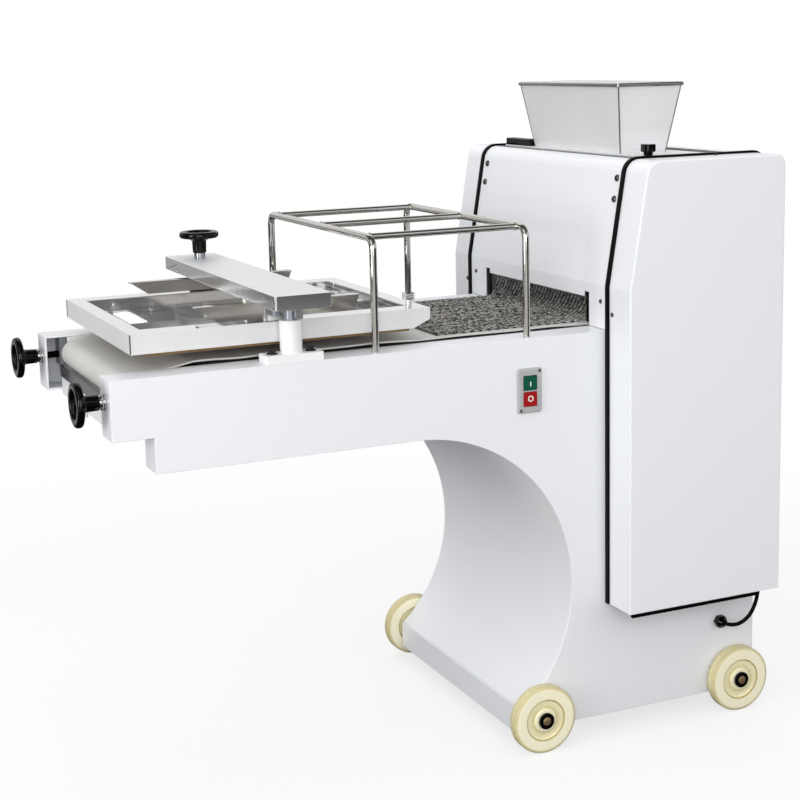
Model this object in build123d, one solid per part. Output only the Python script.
from build123d import *
import math
import os

# Bread moulder, in millimetres. X runs along the table (outfeed end at -X, head at +X),
# the switch side is at -Y and Z is up. The dimensions below count x from the free end of
# the arms, y from the centre plane and z from the floor. X_CENTRE brings the middle of the
# length to x = 0 when the pieces are written.
X_CENTRE = 564.0
SHEET = 3.0
RUN = 0.05                      # radial running clearance of a shaft in its bore
GAP = 0.3                       # room between pieces that move past each other

# Side frames: plate, arm channel, step, arch and lip
FRAME_Y = 250.0
ARM_WIDTH = 58.0
ARM_TOP = 717.0
ARM_END_BOTTOM = 624.0
ARM_BOTTOM = 568.0
STEP_X = 65.0
ARCH_X, ARCH_Z, ARCH_R = 498.0, 283.0, 285.0
LIP_X = 685.0
LIP_BOTTOM = 22.0
BASE_Z = 36.0
REAR_X = 1160.0
PLATE_Y = FRAME_Y - SHEET       # inner face of the side plates
ARM_INNER_Y = FRAME_Y - ARM_WIDTH

# Head profile seen from the side
HEAD_FRONT = 852.0
FOLD_Z = 792.0
HEAD_TOP = 1003.0
HEAD_SLOPE = 0.168              # run back per millimetre of height above the fold
HEAD_FRONT_R = 26.0
HEAD_REAR_R = 18.0
SLOPE_TOP_X = 910.0             # where the front panel ends on the top
TOP_REAR_X = 1120.0             # where the rear panel starts on the top
DOOR_Y, DOOR_TOP = 192.0, 766.0
NOTCH_Y, NOTCH_TOP = 175.0, 775.0
STRIP_T, STRIP_Y0, STRIP_Y1, STRIP_Z0, STRIP_Z1 = 3.0, 178.0, 195.0, 722.0, 779.0

# Side covers and their rubber
COVER_Y = 324.0
COVER_BOTTOM = 239.0
COVER_SHEET = 1.5
COVER_EDGE_R = 3.0
SEAL_WIDTH, SEAL_PROUD = 10.0, 4.0
TRIM_X0, TRIM_X1 = 856.0, 1115.0
TRIM_PROUD, TRIM_DROP, TRIM_WIDTH = 2.0, 6.0, 7.0

# Hopper
RIM_Z, RIM_X0, RIM_X1, RIM_Y = 1126.0, 919.0, 1053.0, 177.0
MOUTH_X0, MOUTH_X1, MOUTH_Y = 941.0, 1033.0, 150.0
HOPPER_SHEET, HEM_WIDTH, HEM_HEIGHT = 2.0, 3.0, 6.0
FOOT_X0, FOOT_X1, FOOT_Y, FOOT_T = 926.0, 1060.0, 244.0, 2.5
STAR_X, STAR_Y = 946.0, -230.0
STAR_R, STAR_LOBES, STUD_R = 13.5, 6, 4.0

# Belt line
BELT_Y, BELT_T, BELT_R = 187.0, 2.5, 28.0
TAIL_X, TAIL_Z, TAIL_R = 50.0, 685.0, 21.0
DRUM_X, SHAFT_Z = 1050.0, 690.0
CREST_X, CREST_R = 150.0, 3.0   # where the belt climbs onto the bed
ROLLER_Y = 188.0
RAIL_T, RAIL_BOTTOM = 2.0, 627.0
RAIL_X0, RAIL_X1 = 38.0, 1030.0
BED_X0, BED_X1 = 152.0, 1000.0
UNDERSIDE_X0 = 150.0            # where the sheet under the table starts
TAIL_SHAFT_R, SHAFT_R = 8.0, 12.5
TENSION_Y, TENSION_Z, TENSION_R = 218.0, 681.0, 6.0
COLLAR_R = 13.0

# Handwheel knobs: hub, dished web and round rim
KNOB_R, KNOB_RIM_R, KNOB_H = 34.5, 5.0, 38.0
KNOB_HUB_R, KNOB_HUB, KNOB_WEB_T, KNOB_BORE = 12.0, 25.0, 4.0, 16.0
KNOB_COLLAR = 10.0

# Pressing unit
POST_X, POST_Y, POST_R, POST_TOP = 294.0, 230.0, 17.4, 782.0
FLANGE_X, FLANGE_Y, FLANGE_Z, FLANGE_CUT = 95.0, 38.0, 13.0, 1.5
BOLT_OFFSET, BOLT_R, BOLT_H = 32.0, 6.5, 7.0
ROD_R, ROD_BOTTOM, BORE_BOTTOM = 9.0, 760.0, 750.0
LIFT_R, LIFT_BOTTOM = 5.0, 727.0
BAR_X0, BAR_X1, BAR_Y, BAR_Z0, BAR_Z1 = 247.0, 340.0, 292.0, 806.0, 829.0
BAR_EDGE_R = 4.0
BAR_HOLE_Y, BAR_HOLES_Z, BAR_HOLE_R = 220.0, (810.0, 818.5), 3.0
TRAY_X0, TRAY_X1, TRAY_Y = 45.0, 544.0, 208.0
TRAY_TOP, TRAY_END, TRAY_FLOOR = 777.0, 758.0, 745.0
TRAY_FLAT_X1, TRAY_SHEET = 515.0, 2.0
RIM_END, RIM_SIDE = 26.0, 38.0
PAD_X0, PAD_X1, PAD_T, PAD_EDGE = 70.0, 510.0, 5.0, 6.0
HANG_X0, HANG_X1, HANG_Y, HANG_T = 262.0, 326.0, 199.0, 8.0
GUIDE_LIP, GUIDE_T, GUIDE_END_CUT = 14.0, 2.0, 9.0
GUIDE_BLOCK_X0, GUIDE_BLOCK_X1 = 270.0, 318.0
GUIDE_STUD_R, GUIDE_NUT_R, GUIDE_NUT_T, GUIDE_STUD_Z = 3.0, 6.0, 4.5, 816.0
# Side guides: back edge y, top z, left x, right x, drop, left cut, travel to -Y and to +Y
GUIDES = {
    "near_side_guide": (-75.0, 790.0, 184.0, 470.0, 27.0, 37.0, 50.0, 45.0),
    "far_side_guide": (192.0, 801.0, 150.0, 450.0, 22.0, 32.0, 60.0, 2.0),
}

# Safety guard
TUBE_R, BAR_R, GUARD_X = 6.0, 5.5, (434.0, 707.0)
GUARD_Y, GUARD_TOP, GUARD_BEND = 235.0, 899.0, 18.0
GUARD_BARS = (-209.0, 0.0, 209.0)
GUARD_STUB, GUARD_STUB_Z = 30.0, 790.0
HINGE_Z, EYE_R, EYE_HALF, PIN_R = 726.5, 7.2, 7.0, 3.5
LUG_T, LUG_Y, LUG_TOP, LUG_BASE = 3.0, 7.5, 733.0, 1.8

# Sheeting rollers, drive and curling net
ROLLER_R, ROLLER_Z, FRONT_ROLLER_X, REAR_ROLLER_X = 46.0, 905.0, 938.0, 1036.0
GEAR_R, GEAR_TEETH, GEAR_Y0, GEAR_Y1 = 48.7, 24, 276.0, 290.0
SPROCKET_R, SPROCKET_TEETH, SPROCKET_Y0, SPROCKET_Y1 = 37.0, 17, 276.0, 284.0
CHAIN_T, CHAIN_Y0, CHAIN_Y1 = 6.5, 277.0, 283.0
MOTOR_X, MOTOR_Z, MOTOR_R, MOTOR_SHAFT_R = 960.0, 330.0, 62.0, 9.0
GEARBOX_HALF, GEARBOX_Y0, MOTOR_Y0 = 60.0, 150.0, -80.0
BEARING_PLATE, BEARING_T, BEARING_R, BEARING_H = 76.0, 6.0, 28.0, 16.0
SHAFT_END, SHAFT_PLAIN_END, PLATE_HOLE_R = 292.0, 269.0, 16.0
NET_X0, NET_Z0, NET_T, NET_Y = 575.0, 720.8, 4.0, 177.0
NET_TURN_X, NET_TURN_R, NET_TOP = 840.0, 22.0, 800.0
NET_ROD_R, NET_ROD_Z = 6.0, 806.0

# Switch
SWITCH_X0, SWITCH_X1, SWITCH_Z0, SWITCH_Z1 = 679.5, 725.0, 592.5, 668.0
BEZEL_T, BEZEL_R, BEZEL_SIDE, BEZEL_TOP, BEZEL_LOW = 5.0, 5.0, 10.0, 12.5, 11.0
BEZEL_SCREW_R, BEZEL_SCREW_EDGE = 2.6, 5.2
SLEEVE_T, SLEEVE_DEPTH = 2.0, 32.0
BUTTON_PROUD, BUTTON_DEPTH, BUTTON_GAP, BUTTON_R = 1.0, 15.0, 0.5, 1.0
BUTTON_SPLIT_Z, DIVIDER = 629.5, 1.2

# Wheels
WHEEL_R, WHEEL_Y0, WHEEL_W, WHEEL_EDGE = 59.0, 253.0, 22.0, 6.0
WHEEL_X = {"front": 716.0, "rear": 1117.0}
GROOVE_R0, GROOVE_R1, GROOVE_DEPTH = 24.0, 43.0, 5.0
AXLE_R, AXLE_COLLAR_R, AXLE_COLLAR = 9.0, 14.0, 4.0

# Lead between the base and the near cover, with a gland at each end
GLAND_R, GLAND_BODY, GLAND_DOME, GLAND_SHANK_R = 12.0, 10.0, 8.0, 8.0
GLANDS = ((1086.0, 167.0), (1138.0, 290.0))
LEAD_R = 3.5
LEAD_ROUTE = [
    (1086, -268, 167), (1088, -282, 168), (1101, -293, 172), (1119, -297, 186), (1131, -297, 207),
    (1137, -296, 231), (1139, -293, 256), (1139.5, -290, 276), (1138.5, -281, 288), (1138, -268, 290),
]


def block(x0, x1, y0, y1, z0, z1):
    """A box between two opposite corners."""
    middle = Pos((x0 + x1) / 2, (y0 + y1) / 2, (z0 + z1) / 2)
    return middle * Box(x1 - x0, y1 - y0, z1 - z0)


def rod_x(x0, x1, y, z, radius):
    return Pos((x0 + x1) / 2, y, z) * Rot(0, 90, 0) * Cylinder(radius, x1 - x0)


def rod_y(y0, y1, x, z, radius):
    return Pos(x, (y0 + y1) / 2, z) * Rot(90, 0, 0) * Cylinder(radius, y1 - y0)


def rod_z(z0, z1, x, y, radius):
    return Pos(x, y, (z0 + z1) / 2) * Cylinder(radius, z1 - z0)


def rect(x0, x1, z0, z1):
    """A rectangle of the side view."""
    return Pos((x0 + x1) / 2, (z0 + z1) / 2) * Rectangle(x1 - x0, z1 - z0)


def slab(outline, y0, y1):
    """A side view given its thickness from y0 to y1."""
    return extrude(Plane.XZ.offset(-y1) * outline, y1 - y0, dir=(0, -1, 0))


def far(part):
    """The far-side twin of a near-side piece."""
    return mirror(part, Plane.XZ)


def both(part):
    return [part, far(part)]


def hull(circles):
    """The outline of a band pulled tight round circles given as x, z and radius."""
    rings = [Pos(x, z) * Circle(radius) for x, z, radius in circles]
    return make_hull([edge for ring in rings for edge in ring.edges()])


def group(parts):
    """Several separate solids that share a node."""
    return Compound(children=[solid for part in parts for solid in part.solids()])


def disc_on(place, normal, radius, height):
    """A short cylinder that stands on a surface, such as a screw head."""
    return Plane(origin=place, z_dir=normal) * Pos(0, 0, height / 2) * Cylinder(radius, height)


def head_outline(bottom):
    slope_x = HEAD_FRONT + HEAD_SLOPE * (HEAD_TOP - FOLD_Z)
    corners = [
        (HEAD_FRONT, bottom), (HEAD_FRONT, FOLD_Z), (slope_x, HEAD_TOP),
        (REAR_X, HEAD_TOP), (REAR_X, bottom),
    ]
    outline = Polygon(*corners, align=None)
    outline = fillet(outline.vertices().sort_by_distance((slope_x, HEAD_TOP))[0], HEAD_FRONT_R)
    return fillet(outline.vertices().sort_by_distance((REAR_X, HEAD_TOP))[0:1], HEAD_REAR_R)


def head_band():
    """The sheet thickness all round the head, from which its panels are cut."""
    return head_outline(0) - offset(head_outline(0), -SHEET)


def lip_z():
    """Height where the arch meets the vertical lip."""
    return ARCH_Z - math.sqrt(ARCH_R ** 2 - (LIP_X - ARCH_X) ** 2)


def side_outline():
    edge = Polyline(
        (ARCH_X, ARM_BOTTOM), (STEP_X, ARM_BOTTOM), (STEP_X, ARM_END_BOTTOM), (0, ARM_END_BOTTOM),
        (0, ARM_TOP), (REAR_X, ARM_TOP), (REAR_X, BASE_Z), (LIP_X, BASE_Z), (LIP_X, lip_z()),
    )
    arch = ThreePointArc((LIP_X, lip_z()), (ARCH_X + ARCH_R, ARCH_Z), (ARCH_X, ARM_BOTTOM))
    return make_face([edge, arch]) + head_outline(ARM_BOTTOM)


def side_frame(sprocket_side):
    """The near-side frame: plate, arm channel and holes. The far one is its mirror image."""
    inner = -ARM_INNER_Y
    frame = slab(side_outline(), -FRAME_Y, -PLATE_Y)
    frame += block(0, HEAD_FRONT, -FRAME_Y, inner, ARM_TOP - SHEET, ARM_TOP)
    frame += block(0, SHEET, -FRAME_Y, inner, ARM_END_BOTTOM, ARM_TOP)
    frame += block(0, STEP_X + SHEET, -FRAME_Y, inner, ARM_END_BOTTOM, ARM_END_BOTTOM + SHEET)
    frame += block(STEP_X, STEP_X + SHEET, -FRAME_Y, inner, ARM_BOTTOM, ARM_END_BOTTOM + SHEET)
    shafts = [(DRUM_X, SHAFT_Z), (FRONT_ROLLER_X, ROLLER_Z), (REAR_ROLLER_X, ROLLER_Z)]
    for x, z in shafts:
        frame -= rod_y(-FRAME_Y - 1, -PLATE_Y + 1, x, z, PLATE_HOLE_R)
    for x in WHEEL_X.values():
        frame -= rod_y(-FRAME_Y - 1, -PLATE_Y + 1, x, WHEEL_R, AXLE_R)
    frame -= rod_x(-1, SHEET + 1, -TENSION_Y, TENSION_Z, TENSION_R + GAP)
    if sprocket_side:
        frame -= rod_y(-FRAME_Y - 1, -PLATE_Y + 1, MOTOR_X, MOTOR_Z, PLATE_HOLE_R)
        return far(frame)
    for x, z in GLANDS:
        frame -= rod_y(-FRAME_Y - 1, -PLATE_Y + 1, x, z, GLAND_SHANK_R)
    return frame - switch_hole(SLEEVE_T, -FRAME_Y - 1, -PLATE_Y + 1)


def switch_hole(wall, y0, y1):
    """The box inside the bezel, grown by a wall thickness."""
    x0, x1 = SWITCH_X0 + BEZEL_SIDE - wall, SWITCH_X1 - BEZEL_SIDE + wall
    return block(x0, x1, y0, y1, SWITCH_Z0 + BEZEL_LOW - wall, SWITCH_Z1 - BEZEL_TOP + wall)


def arm_rail():
    rail = block(RAIL_X0, RAIL_X1, -ARM_INNER_Y, RAIL_T - ARM_INNER_Y, RAIL_BOTTOM, ARM_TOP - SHEET)
    return rail - block(TAIL_X - 12, TAIL_X + 18, -ARM_INNER_Y - 1, 0, TAIL_Z - 10, TAIL_Z + 10)


def arch_panel():
    """One bent sheet: underside of the table, arch and lip."""
    ring = Pos(ARCH_X, ARCH_Z) * (Circle(ARCH_R + SHEET) - Circle(ARCH_R))
    outline = ring & rect(ARCH_X, ARCH_X + 2 * ARCH_R, lip_z(), ARM_BOTTOM + SHEET)
    outline += rect(UNDERSIDE_X0, ARCH_X, ARM_BOTTOM, ARM_BOTTOM + SHEET)
    outline += rect(LIP_X, LIP_X + SHEET, LIP_BOTTOM, lip_z() + SHEET)
    return slab(outline, -PLATE_Y, PLATE_Y)


def head_front_panel():
    panel = slab(head_band() & rect(0, SLOPE_TOP_X, ARM_TOP, RIM_Z), -PLATE_Y, PLATE_Y)
    behind = HEAD_FRONT + 10
    panel -= block(0, behind, -DOOR_Y, DOOR_Y, 0, DOOR_TOP)
    for y in (-DOOR_Y, NOTCH_Y):
        panel -= block(0, behind, y, y + DOOR_Y - NOTCH_Y, 0, NOTCH_TOP)
    return panel


def doorway_strip():
    """Rubber strip that closes the gap between the net and the side of the doorway."""
    back = HEAD_FRONT + SHEET
    return block(back, back + STRIP_T, STRIP_Y0, STRIP_Y1, STRIP_Z0, STRIP_Z1)


def top_plate():
    plate = slab(head_band() & rect(SLOPE_TOP_X, TOP_REAR_X, FOLD_Z, RIM_Z), -PLATE_Y, PLATE_Y)
    plate -= block(MOUTH_X0, MOUTH_X1, -MOUTH_Y, MOUTH_Y, FOLD_Z, RIM_Z)
    return plate - rod_z(FOLD_Z, RIM_Z, STAR_X, STAR_Y, STUD_R + RUN)


def rear_panel():
    return slab(head_band() & rect(TOP_REAR_X, REAR_X, BASE_Z, RIM_Z), -PLATE_Y, PLATE_Y)


def base_floor():
    return block(LIP_X + SHEET, REAR_X - SHEET, -PLATE_Y, PLATE_Y, BASE_Z, BASE_Z + SHEET)


def table_end_panel():
    x, y, top, bottom = 25.0, ARM_INNER_Y - RAIL_T, 656.0, 616.0
    panel = block(x, x + SHEET, -y, y, bottom, top)
    return panel + block(x, STEP_X, -y, y, bottom, bottom + SHEET)


def nose_scraper():
    x, y, bottom, top = 25.0, 186.0, 648.0, 669.0
    return block(x - SHEET, x, -y, y, bottom, top)


def conveyor_belt():
    """Loop round the tail roller, over the front edge of the bed and round the drive drum."""
    turns = [
        (TAIL_X, TAIL_Z, TAIL_R), (CREST_X, SHAFT_Z + BELT_R - CREST_R, CREST_R), (DRUM_X, SHAFT_Z, BELT_R),
    ]
    outside = hull([(x, z, radius + BELT_T) for x, z, radius in turns])
    return slab(outside - hull(turns), -BELT_Y, BELT_Y)


def belt_bed():
    y, top = ARM_INNER_Y - RAIL_T, SHAFT_Z + BELT_R - GAP
    return block(BED_X0, BED_X1, -y, y, top - SHEET, top)


def soft_edged(outline, y0, y1, radius):
    """A slab whose outline is rounded over on its outer face, all but the bottom edge."""
    body = slab(outline, y0, y1)
    return fillet(body.faces().sort_by(Axis.Y)[0].edges().sort_by(Axis.Z)[1:], radius)


def side_cover():
    shell = soft_edged(head_outline(COVER_BOTTOM), -COVER_Y, -FRAME_Y, COVER_EDGE_R)
    inner_outline = offset(head_outline(0), -COVER_SHEET)
    return shell - soft_edged(inner_outline, COVER_SHEET - COVER_Y, 0, COVER_EDGE_R - COVER_SHEET)


def cover_rubber():
    """Seal round the front and top of a cover, and the trim on its bottom edge."""
    band = offset(head_outline(0), SEAL_PROUD) - head_outline(0)
    band &= rect(0, REAR_X - SHEET, COVER_BOTTOM, RIM_Z)
    seal = slab(band, -FRAME_Y - SEAL_WIDTH, -FRAME_Y)
    outer = -COVER_Y - TRIM_PROUD
    trim = block(TRIM_X0, TRIM_X1, outer, outer + TRIM_WIDTH, COVER_BOTTOM - TRIM_DROP, COVER_BOTTOM)
    return [seal, trim]


def machine_screws():
    slope = math.atan(HEAD_SLOPE)
    slope_normal = (-math.cos(slope), 0, math.sin(slope))
    screws = []
    for side in (-1, 1):
        for z in (936, 971):
            x = HEAD_FRONT + HEAD_SLOPE * (z - FOLD_Z)
            screws.append(disc_on((x, side * 235, z), slope_normal, 6, 2.5))
        for y, z in ((231, 764), (268, 746)):
            screws.append(disc_on((HEAD_FRONT, side * y, z), (-1, 0, 0), 4, 2))
        screws.append(disc_on((1055, side * 270, HEAD_TOP), (0, 0, 1), 4, 2))
        for x in (POST_X - BOLT_OFFSET, POST_X + BOLT_OFFSET):
            screws.append(disc_on((x, side * POST_Y, ARM_TOP + FLANGE_Z), (0, 0, 1), BOLT_R, BOLT_H))
    edge = BEZEL_SCREW_EDGE
    for x, z in ((SWITCH_X0 + edge, SWITCH_Z0 + edge), (SWITCH_X1 - edge, SWITCH_Z1 - edge)):
        screws.append(disc_on((x, -FRAME_Y - BEZEL_T, z), (0, -1, 0), BEZEL_SCREW_R, 1))
    return group(screws)


def funnel(x0, x1, y, mouth_x0, mouth_x1, mouth_y):
    """A tapered block from the hopper's foot up to its rim."""
    low = Pos((mouth_x0 + mouth_x1) / 2, 0, HEAD_TOP) * Rectangle(mouth_x1 - mouth_x0, 2 * mouth_y)
    high = Pos((x0 + x1) / 2, 0, RIM_Z) * Rectangle(x1 - x0, 2 * y)
    return loft([low, high])


def hopper():
    wall, hem = HOPPER_SHEET, HEM_WIDTH
    outside = funnel(RIM_X0 + hem, RIM_X1 - hem, RIM_Y - hem, MOUTH_X0, MOUTH_X1, MOUTH_Y)
    inside = funnel(
        RIM_X0 + hem + wall, RIM_X1 - hem - wall, RIM_Y - hem - wall,
        MOUTH_X0 + wall, MOUTH_X1 - wall, MOUTH_Y - wall,
    )
    rim = block(RIM_X0, RIM_X1, -RIM_Y, RIM_Y, RIM_Z - HEM_HEIGHT, RIM_Z)
    foot = block(FOOT_X0, FOOT_X1, -FOOT_Y, FOOT_Y, HEAD_TOP, HEAD_TOP + FOOT_T)
    stud_hole = rod_z(HEAD_TOP - 1, HEAD_TOP + FOOT_T + 1, STAR_X, STAR_Y, STUD_R + RUN)
    return outside + rim + foot - inside - stud_hole


def hopper_knob():
    base = HEAD_TOP + FOOT_T + GAP
    profile = Circle(STAR_R - 2)
    for spot in PolarLocations(STAR_R - 4.5, STAR_LOBES):
        profile += spot * Circle(4.5)
    head = extrude(Pos(STAR_X, STAR_Y, base + 6) * profile, 13)
    hub = rod_z(base, base + 6, STAR_X, STAR_Y, 8)
    return head + hub + rod_z(HEAD_TOP - 15, base, STAR_X, STAR_Y, STUD_R)


def hopper_switch():
    return block(MOUTH_X0 - 14, MOUTH_X0 + 5, 156, 243, HEAD_TOP + FOOT_T, HEAD_TOP + FOOT_T + 13)


def guard_hoop(x):
    """One bent tube of the guard, with a hinge eye on its far foot."""
    path = FilletPolyline(
        (x, -GUARD_Y, ARM_TOP + GAP), (x, -GUARD_Y, GUARD_TOP),
        (x, GUARD_Y, GUARD_TOP), (x, GUARD_Y, HINGE_Z), radius=GUARD_BEND,
    )
    hoop = sweep(Plane(path @ 0, z_dir=path % 0) * Circle(TUBE_R), path=path)
    hoop += rod_x(x - EYE_HALF, x + EYE_HALF, GUARD_Y, HINGE_Z, EYE_R)
    return hoop - rod_x(x - EYE_HALF, x + EYE_HALF, GUARD_Y, HINGE_Z, PIN_R + RUN)


def safety_guard():
    guard = guard_hoop(GUARD_X[0])
    for y in GUARD_BARS:
        guard += rod_x(*GUARD_X, y, GUARD_TOP, BAR_R)
    guard += rod_x(GUARD_X[0], GUARD_X[0] + GUARD_STUB, GUARD_Y, GUARD_STUB_Z, BAR_R)
    return guard + guard_hoop(GUARD_X[1])


def guard_hinge_blocks():
    pieces = []
    for x in GUARD_X:
        reach = EYE_HALF + GAP + LUG_T
        y0, y1 = GUARD_Y - LUG_Y, GUARD_Y + LUG_Y
        lugs = block(x - reach, x + reach, y0, y1, ARM_TOP, LUG_TOP)
        lugs -= block(x - EYE_HALF - GAP, x + EYE_HALF + GAP, y0, y1, ARM_TOP + LUG_BASE, LUG_TOP)
        pin = rod_x(x - reach, x + reach, GUARD_Y, HINGE_Z, PIN_R)
        pieces += [lugs - pin, pin]
    return group(pieces)


def guide_post():
    """White guide post on its bolted flange, bored for the rod and tapped for the lift screw."""
    plate = chamfer(Rectangle(FLANGE_X, FLANGE_Y).vertices(), FLANGE_CUT)
    post = extrude(Pos(POST_X, -POST_Y, ARM_TOP) * plate, FLANGE_Z)
    post += rod_z(ARM_TOP, POST_TOP, POST_X, -POST_Y, POST_R)
    post -= rod_z(BORE_BOTTOM, POST_TOP, POST_X, -POST_Y, ROD_R + RUN)
    return post - rod_z(ARM_TOP, BORE_BOTTOM, POST_X, -POST_Y, LIFT_R + RUN)


def guide_rods():
    top = BAR_Z1 - SHEET
    near_rod = rod_z(ROD_BOTTOM, top, POST_X, -POST_Y, ROD_R)
    return group([near_rod, far(near_rod) - rod_z(ROD_BOTTOM, top, POST_X, POST_Y, LIFT_R + RUN)])


def crossbar():
    """Inverted channel with closed ends and the hangers that carry the pressure frame."""
    bar = block(BAR_X0, BAR_X1, -BAR_Y, BAR_Y, BAR_Z0, BAR_Z1)
    bar = fillet(bar.edges().filter_by(Axis.Z), BAR_EDGE_R)
    inside = block(
        BAR_X0 + SHEET, BAR_X1 - SHEET, SHEET - BAR_Y, BAR_Y - SHEET, BAR_Z0 - 1, BAR_Z1 - SHEET,
    )
    bar -= inside
    hanger = block(HANG_X0, HANG_X1, -HANG_Y - HANG_T / 2, HANG_T / 2 - HANG_Y, TRAY_TOP, BAR_Z1 - SHEET)
    bar = bar + hanger + far(hanger)
    bar -= rod_z(BAR_Z0, BAR_Z1, POST_X, POST_Y, LIFT_R + RUN)
    for z in BAR_HOLES_Z:
        bar -= rod_x(BAR_X0 - 1, BAR_X0 + SHEET + 1, BAR_HOLE_Y, z, BAR_HOLE_R)
    room = GUIDE_STUD_R + 2 * GAP
    for edge_y, *_, back, ahead in GUIDES.values():
        y = edge_y - GUIDE_LIP / 2
        bar -= block(BAR_X1 - SHEET, BAR_X1 + 1, y - back - room, y + ahead + room,
                     GUIDE_STUD_Z - room, GUIDE_STUD_Z + room)
    return bar


def pressure_frame():
    corners = [
        (TRAY_X0, TRAY_TOP), (TRAY_X0, TRAY_FLOOR), (TRAY_FLAT_X1, TRAY_FLOOR), (TRAY_X1, TRAY_END),
        (TRAY_X1, TRAY_TOP),
    ]
    outline = Polygon(*corners, align=None)
    inside = offset(outline, -TRAY_SHEET)
    tray = slab(outline, -TRAY_Y, TRAY_Y) - slab(inside, TRAY_SHEET - TRAY_Y, TRAY_Y - TRAY_SHEET)
    mouth_y = TRAY_Y - RIM_SIDE
    return tray - block(
        TRAY_X0 + RIM_END, TRAY_X1 - RIM_END, -mouth_y, mouth_y, TRAY_TOP - TRAY_SHEET - 1, TRAY_TOP + 1,
    )


def pressure_pad():
    y = TRAY_Y - PAD_EDGE
    return block(PAD_X0, PAD_X1, -y, y, TRAY_FLOOR - PAD_T, TRAY_FLOOR)


def side_guide(edge_y, top_z, left, right, drop, cut, *travel):
    """Upright guide plate with a top lip, hung from a block that slides inside the crossbar."""
    face_y = edge_y - GUIDE_LIP
    outline = Polygon(
        (left, top_z), (right, top_z), (right - GUIDE_END_CUT, top_z - drop), (left + cut, top_z - drop),
        align=None,
    )
    plate = slab(outline, face_y, face_y + GUIDE_T)
    plate += block(left, right, face_y, edge_y, top_z - GUIDE_T, top_z)
    plate += block(GUIDE_BLOCK_X0, GUIDE_BLOCK_X1, face_y, edge_y, top_z - GUIDE_T, BAR_Z1 - SHEET - GAP)
    stud_y, nut_x = (face_y + edge_y) / 2, BAR_X1 + GAP
    plate += rod_x(GUIDE_BLOCK_X1, nut_x + GUIDE_NUT_T, stud_y, GUIDE_STUD_Z, GUIDE_STUD_R)
    return plate + rod_x(nut_x, nut_x + GUIDE_NUT_T, stud_y, GUIDE_STUD_Z, GUIDE_NUT_R)


def handwheel(bore):
    """Knob with its hub on z = 0 and its dished side up."""
    rim_x, rim_z, web = KNOB_R - KNOB_RIM_R, KNOB_H - KNOB_RIM_R, KNOB_WEB_T
    corners = [
        (0, 0), (KNOB_HUB_R, 0), (KNOB_HUB_R + 1, KNOB_HUB), (rim_x, rim_z - web / 2),
        (rim_x, rim_z + web / 2), (KNOB_HUB_R, KNOB_HUB + web), (0, KNOB_HUB + web),
    ]
    profile = Polygon(*corners, align=None) + Pos(rim_x, rim_z) * Circle(KNOB_RIM_R)
    knob = revolve(Plane.XZ * profile, Axis.Z)
    return knob - rod_z(0, KNOB_BORE, 0, 0, bore)


def height_knob():
    return Pos(POST_X, POST_Y, BAR_Z1 + KNOB_COLLAR) * handwheel(LIFT_R)


def height_screw():
    knob_base = BAR_Z1 + KNOB_COLLAR
    screw = rod_z(LIFT_BOTTOM, knob_base + KNOB_BORE, POST_X, POST_Y, LIFT_R)
    return screw + rod_z(BAR_Z1 + GAP, knob_base, POST_X, POST_Y, 2 * LIFT_R)


def tension_knob():
    return Pos(-KNOB_COLLAR, -TENSION_Y, TENSION_Z) * Rot(0, -90, 0) * handwheel(TENSION_R)


def tension_screw():
    screw = rod_x(-KNOB_COLLAR - KNOB_BORE, TAIL_X - 12, -TENSION_Y, TENSION_Z, TENSION_R)
    return screw + rod_x(-KNOB_COLLAR, -GAP, -TENSION_Y, TENSION_Z, COLLAR_R)


def tail_block():
    """Sliding bearing block of the tail roller, tapped for the tension screw."""
    x0, x1, y0, y1 = TAIL_X - 23, TAIL_X + 18, -TENSION_Y - 18, -TENSION_Y + 18
    part = block(x0, x1, y0, y1, TAIL_Z - 22, ARM_TOP - SHEET - GAP)
    part -= rod_y(y0 - 1, y1 + 1, TAIL_X, TAIL_Z, TAIL_SHAFT_R + RUN)
    return part - rod_x(x0 - 1, TAIL_X - 11, -TENSION_Y, TENSION_Z, TENSION_R + RUN)


def tail_roller():
    half = TENSION_Y + 14
    barrel = rod_y(-ROLLER_Y, ROLLER_Y, TAIL_X, TAIL_Z, TAIL_R - GAP)
    return barrel + rod_y(-half, half, TAIL_X, TAIL_Z, TAIL_SHAFT_R)


def drive_drum():
    barrel = rod_y(-ROLLER_Y, ROLLER_Y, DRUM_X, SHAFT_Z, BELT_R - GAP)
    return barrel + rod_y(-SHAFT_PLAIN_END, SHAFT_END, DRUM_X, SHAFT_Z, SHAFT_R)


def sheeting_roller(x, y0, y1):
    return rod_y(-ROLLER_Y, ROLLER_Y, x, ROLLER_Z, ROLLER_R) + rod_y(y0, y1, x, ROLLER_Z, SHAFT_R)


def toothed(radius, teeth, notch, bore):
    """A wheel with round notches between its teeth."""
    profile = Circle(radius)
    for spot in PolarLocations(radius, teeth):
        profile -= spot * Circle(notch)
    return profile - Circle(bore) if bore else profile


def roller_gear(x):
    profile = toothed(GEAR_R, GEAR_TEETH, 3.2, SHAFT_R)
    return slab(Pos(x, ROLLER_Z) * profile, -GEAR_Y1, -GEAR_Y0)


def sprocket(x, z):
    profile = toothed(SPROCKET_R, SPROCKET_TEETH, 4.3, SHAFT_R)
    return slab(Pos(x, z) * profile, SPROCKET_Y0, SPROCKET_Y1)


def motor_sprocket():
    """Sprocket in one piece with the stub shaft that sits in the hollow gearbox."""
    profile = toothed(SPROCKET_R, SPROCKET_TEETH, 4.3, 0)
    wheel = slab(Pos(MOTOR_X, MOTOR_Z) * profile, SPROCKET_Y0, SPROCKET_Y1)
    return wheel + rod_y(GEARBOX_Y0 + 10, SHAFT_END, MOTOR_X, MOTOR_Z, MOTOR_SHAFT_R)


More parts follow.
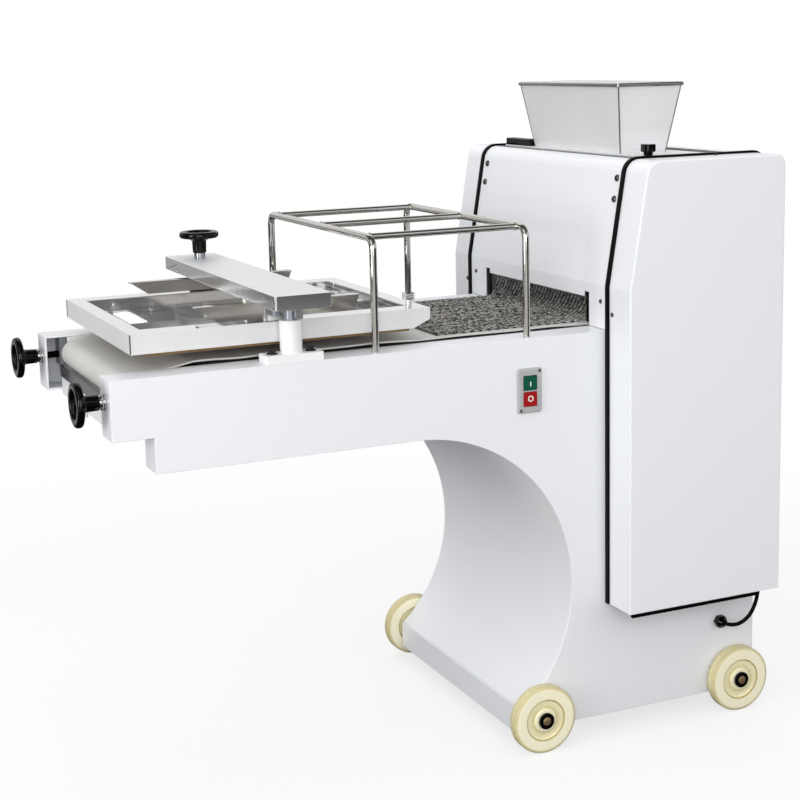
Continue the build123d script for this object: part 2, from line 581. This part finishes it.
def drive_chain():
    """Plain loop that stands for the chain round the motor, drum and rear roller sprockets."""
    centres = [(MOTOR_X, MOTOR_Z), (DRUM_X, SHAFT_Z), (REAR_ROLLER_X, ROLLER_Z)]
    inner = SPROCKET_R + GAP
    inside, outside = (hull([(x, z, radius) for x, z in centres]) for radius in (inner, inner + CHAIN_T))
    return slab(outside - inside, CHAIN_Y0, CHAIN_Y1)


def shaft_bearings():
    bearings = []
    for x, z in ((DRUM_X, SHAFT_Z), (FRONT_ROLLER_X, ROLLER_Z), (REAR_ROLLER_X, ROLLER_Z)):
        half = BEARING_PLATE / 2
        unit = block(x - half, x + half, -FRAME_Y - BEARING_T, -FRAME_Y, z - half, z + half)
        unit = fillet(unit.edges().filter_by(Axis.Y), 12)
        unit += rod_y(-FRAME_Y - BEARING_H, -FRAME_Y, x, z, BEARING_R)
        unit -= rod_y(-FRAME_Y - BEARING_H - 1, -FRAME_Y + 1, x, z, SHAFT_R + RUN)
        bearings += both(unit)
    return group(bearings)


def gear_motor():
    """Motor and hollow-shaft gearbox, bolted to the far side plate from inside."""
    half = GEARBOX_HALF
    unit = block(MOTOR_X - half, MOTOR_X + half, GEARBOX_Y0, PLATE_Y, MOTOR_Z - half, MOTOR_Z + half)
    unit = fillet(unit.edges().filter_by(Axis.Y), 10)
    unit += rod_y(MOTOR_Y0, GEARBOX_Y0, MOTOR_X, MOTOR_Z, MOTOR_R)
    return unit - rod_y(GEARBOX_Y0 + 5, FRAME_Y, MOTOR_X, MOTOR_Z, MOTOR_SHAFT_R + RUN)


def curling_net():
    """Plain slab for the link net: flat on the belt, then up behind the front panel to its rod."""
    bend_x, bend_z = NET_TURN_X, NET_Z0 + NET_T + NET_TURN_R
    low = rect(NET_X0, bend_x, NET_Z0, NET_Z0 + NET_T)
    bend = Pos(bend_x, bend_z) * (Circle(NET_TURN_R + NET_T) - Circle(NET_TURN_R))
    bend &= rect(bend_x, bend_x + 2 * NET_TURN_R, NET_Z0, bend_z)
    rise = rect(bend_x + NET_TURN_R, bend_x + NET_TURN_R + NET_T, bend_z, NET_TOP)
    return slab(low + bend + rise, -NET_Y, NET_Y)


def net_rod():
    return rod_y(-PLATE_Y, PLATE_Y, NET_TURN_X + NET_TURN_R + NET_T / 2, NET_ROD_Z, NET_ROD_R)


def switch_bezel():
    front = -FRAME_Y - BEZEL_T
    bezel = block(SWITCH_X0, SWITCH_X1, front, -FRAME_Y, SWITCH_Z0, SWITCH_Z1)
    bezel = fillet(bezel.edges().filter_by(Axis.Y), BEZEL_R)
    bezel = chamfer(bezel.faces().sort_by(Axis.Y)[0].edges(), 2)
    bezel += switch_hole(SLEEVE_T, -FRAME_Y, SLEEVE_DEPTH - FRAME_Y)
    bezel -= switch_hole(0, front - 1, SLEEVE_DEPTH - SLEEVE_T - FRAME_Y)
    x0, x1, split = SWITCH_X0 + BEZEL_SIDE, SWITCH_X1 - BEZEL_SIDE, BUTTON_SPLIT_Z
    return bezel + block(x0, x1, front, BUTTON_DEPTH - FRAME_Y, split - DIVIDER, split + DIVIDER)


def button(z0, z1):
    front, gap = -FRAME_Y - BEZEL_T - BUTTON_PROUD, BUTTON_GAP
    x0, x1 = SWITCH_X0 + BEZEL_SIDE + gap, SWITCH_X1 - BEZEL_SIDE - gap
    key = block(x0, x1, front, BUTTON_DEPTH - FRAME_Y, z0 + gap, z1 - gap)
    return fillet(key.faces().sort_by(Axis.Y)[0].edges(), BUTTON_R)


def wheel(x):
    """Near-side nylon wheel with a recessed ring in both faces."""
    profile = fillet(rect(AXLE_R + RUN, WHEEL_R, 0, WHEEL_W).vertices().sort_by(Axis.X)[2:], WHEEL_EDGE)
    for z in (0, WHEEL_W - GROOVE_DEPTH):
        profile -= rect(GROOVE_R0, GROOVE_R1, z, z + GROOVE_DEPTH)
    body = revolve(Plane.XZ * profile, Axis.Z)
    return Pos(x, -WHEEL_Y0, WHEEL_R) * Rot(90, 0, 0) * body


def wheel_axles():
    axles = []
    end = WHEEL_Y0 + WHEEL_W + GAP + AXLE_COLLAR
    for x in WHEEL_X.values():
        collar = rod_y(-end, AXLE_COLLAR - end, x, WHEEL_R, AXLE_COLLAR_R)
        axles.append(rod_y(-end, end, x, WHEEL_R, AXLE_R) + collar + far(collar))
    return group(axles)


def cable_glands():
    glands = []
    for x, z in GLANDS:
        hexagon = RegularPolygon(GLAND_R, 6)
        body = slab(Pos(x, z) * hexagon, -FRAME_Y - GLAND_BODY, -FRAME_Y)
        dome = Pos(x, -FRAME_Y - GLAND_BODY - GLAND_DOME / 2, z) * Rot(90, 0, 0)
        body += dome * Cone(GLAND_R - 2, LEAD_R + 2, GLAND_DOME)
        glands.append(body + rod_y(-FRAME_Y, -PLATE_Y + 4, x, z, GLAND_SHANK_R))
    return group(glands)


def power_lead():
    points = [Vector(*point) for point in LEAD_ROUTE]
    radii = []
    for before, corner, after in zip(points, points[1:], points[2:]):
        turn = math.radians((corner - before).get_angle(after - corner))
        shorter = min((corner - before).length, (after - corner).length)
        radii.append(0.45 * shorter / math.tan(turn / 2))
    print("lead bend radii", [round(radius, 1) for radius in radii])
    path = FilletPolyline(*points, radius=radii)
    lead = sweep(Plane(path @ 0, z_dir=path % 0) * Circle(LEAD_R), path=path)
    section = math.pi * LEAD_R ** 2
    print("lead length", round(path.length, 1), "volume ratio", round(lead.volume / section / path.length, 4))
    return lead


nodes = {
    "near_side_frame": side_frame(False),
    "far_side_frame": side_frame(True),
    "arm_rails": group(both(arm_rail())),
    "arch_panel": arch_panel(),
    "base_floor": base_floor(),
    "rear_panel": rear_panel(),
    "head_front_panel": head_front_panel(),
    "doorway_strips": group(both(doorway_strip())),
    "top_plate": top_plate(),
    "table_end_panel": table_end_panel(),
    "nose_scraper": nose_scraper(),
    "belt_bed": belt_bed(),
    "conveyor_belt": conveyor_belt(),
    "near_side_cover": side_cover(),
    "far_side_cover": far(side_cover()),
    "cover_rubber": group([piece for part in cover_rubber() for piece in both(part)]),
    "machine_screws": machine_screws(),
    "hopper": hopper(),
    "hopper_switch": hopper_switch(),
    "hopper_knob": hopper_knob(),
    "safety_guard": safety_guard(),
    "guard_hinge_blocks": guard_hinge_blocks(),
    "guide_posts": group(both(guide_post())),
    "guide_rods": guide_rods(),
    "crossbar": crossbar(),
    "pressure_frame": pressure_frame(),
    "pressure_pad": pressure_pad(),
    "height_knob": height_knob(),
    "height_screw": height_screw(),
    "near_tension_knob": tension_knob(),
    "far_tension_knob": far(tension_knob()),
    "near_tension_screw": tension_screw(),
    "far_tension_screw": far(tension_screw()),
    "tail_blocks": group(both(tail_block())),
    "tail_roller": tail_roller(),
    "drive_drum": drive_drum(),
    "drum_sprocket": sprocket(DRUM_X, SHAFT_Z),
    "front_roller": sheeting_roller(FRONT_ROLLER_X, -SHAFT_END, SHAFT_PLAIN_END),
    "front_roller_gear": roller_gear(FRONT_ROLLER_X),
    "rear_roller": sheeting_roller(REAR_ROLLER_X, -SHAFT_END, SHAFT_END),
    "rear_roller_gear": roller_gear(REAR_ROLLER_X),
    "roller_sprocket": sprocket(REAR_ROLLER_X, ROLLER_Z),
    "motor_sprocket": motor_sprocket(),
    "drive_chain": drive_chain(),
    "shaft_bearings": shaft_bearings(),
    "gear_motor": gear_motor(),
    "curling_net": curling_net(),
    "net_rod": net_rod(),
    "switch_bezel": switch_bezel(),
    "start_button": button(BUTTON_SPLIT_Z + DIVIDER, SWITCH_Z1 - BEZEL_TOP),
    "stop_button": button(SWITCH_Z0 + BEZEL_LOW, BUTTON_SPLIT_Z - DIVIDER),
    "wheel_axles": wheel_axles(),
    "cable_glands": cable_glands(),
    "power_lead": power_lead(),
}
for name, sizes in GUIDES.items():
    nodes[name] = side_guide(*sizes)
for place, x in WHEEL_X.items():
    nodes[f"near_{place}_wheel"] = wheel(x)
    nodes[f"far_{place}_wheel"] = far(wheel(x))

os.makedirs("parts", exist_ok=True)
for name, shape in nodes.items():
    export_step(Pos(-X_CENTRE, 0, 0) * shape, f"parts/{name}.step")
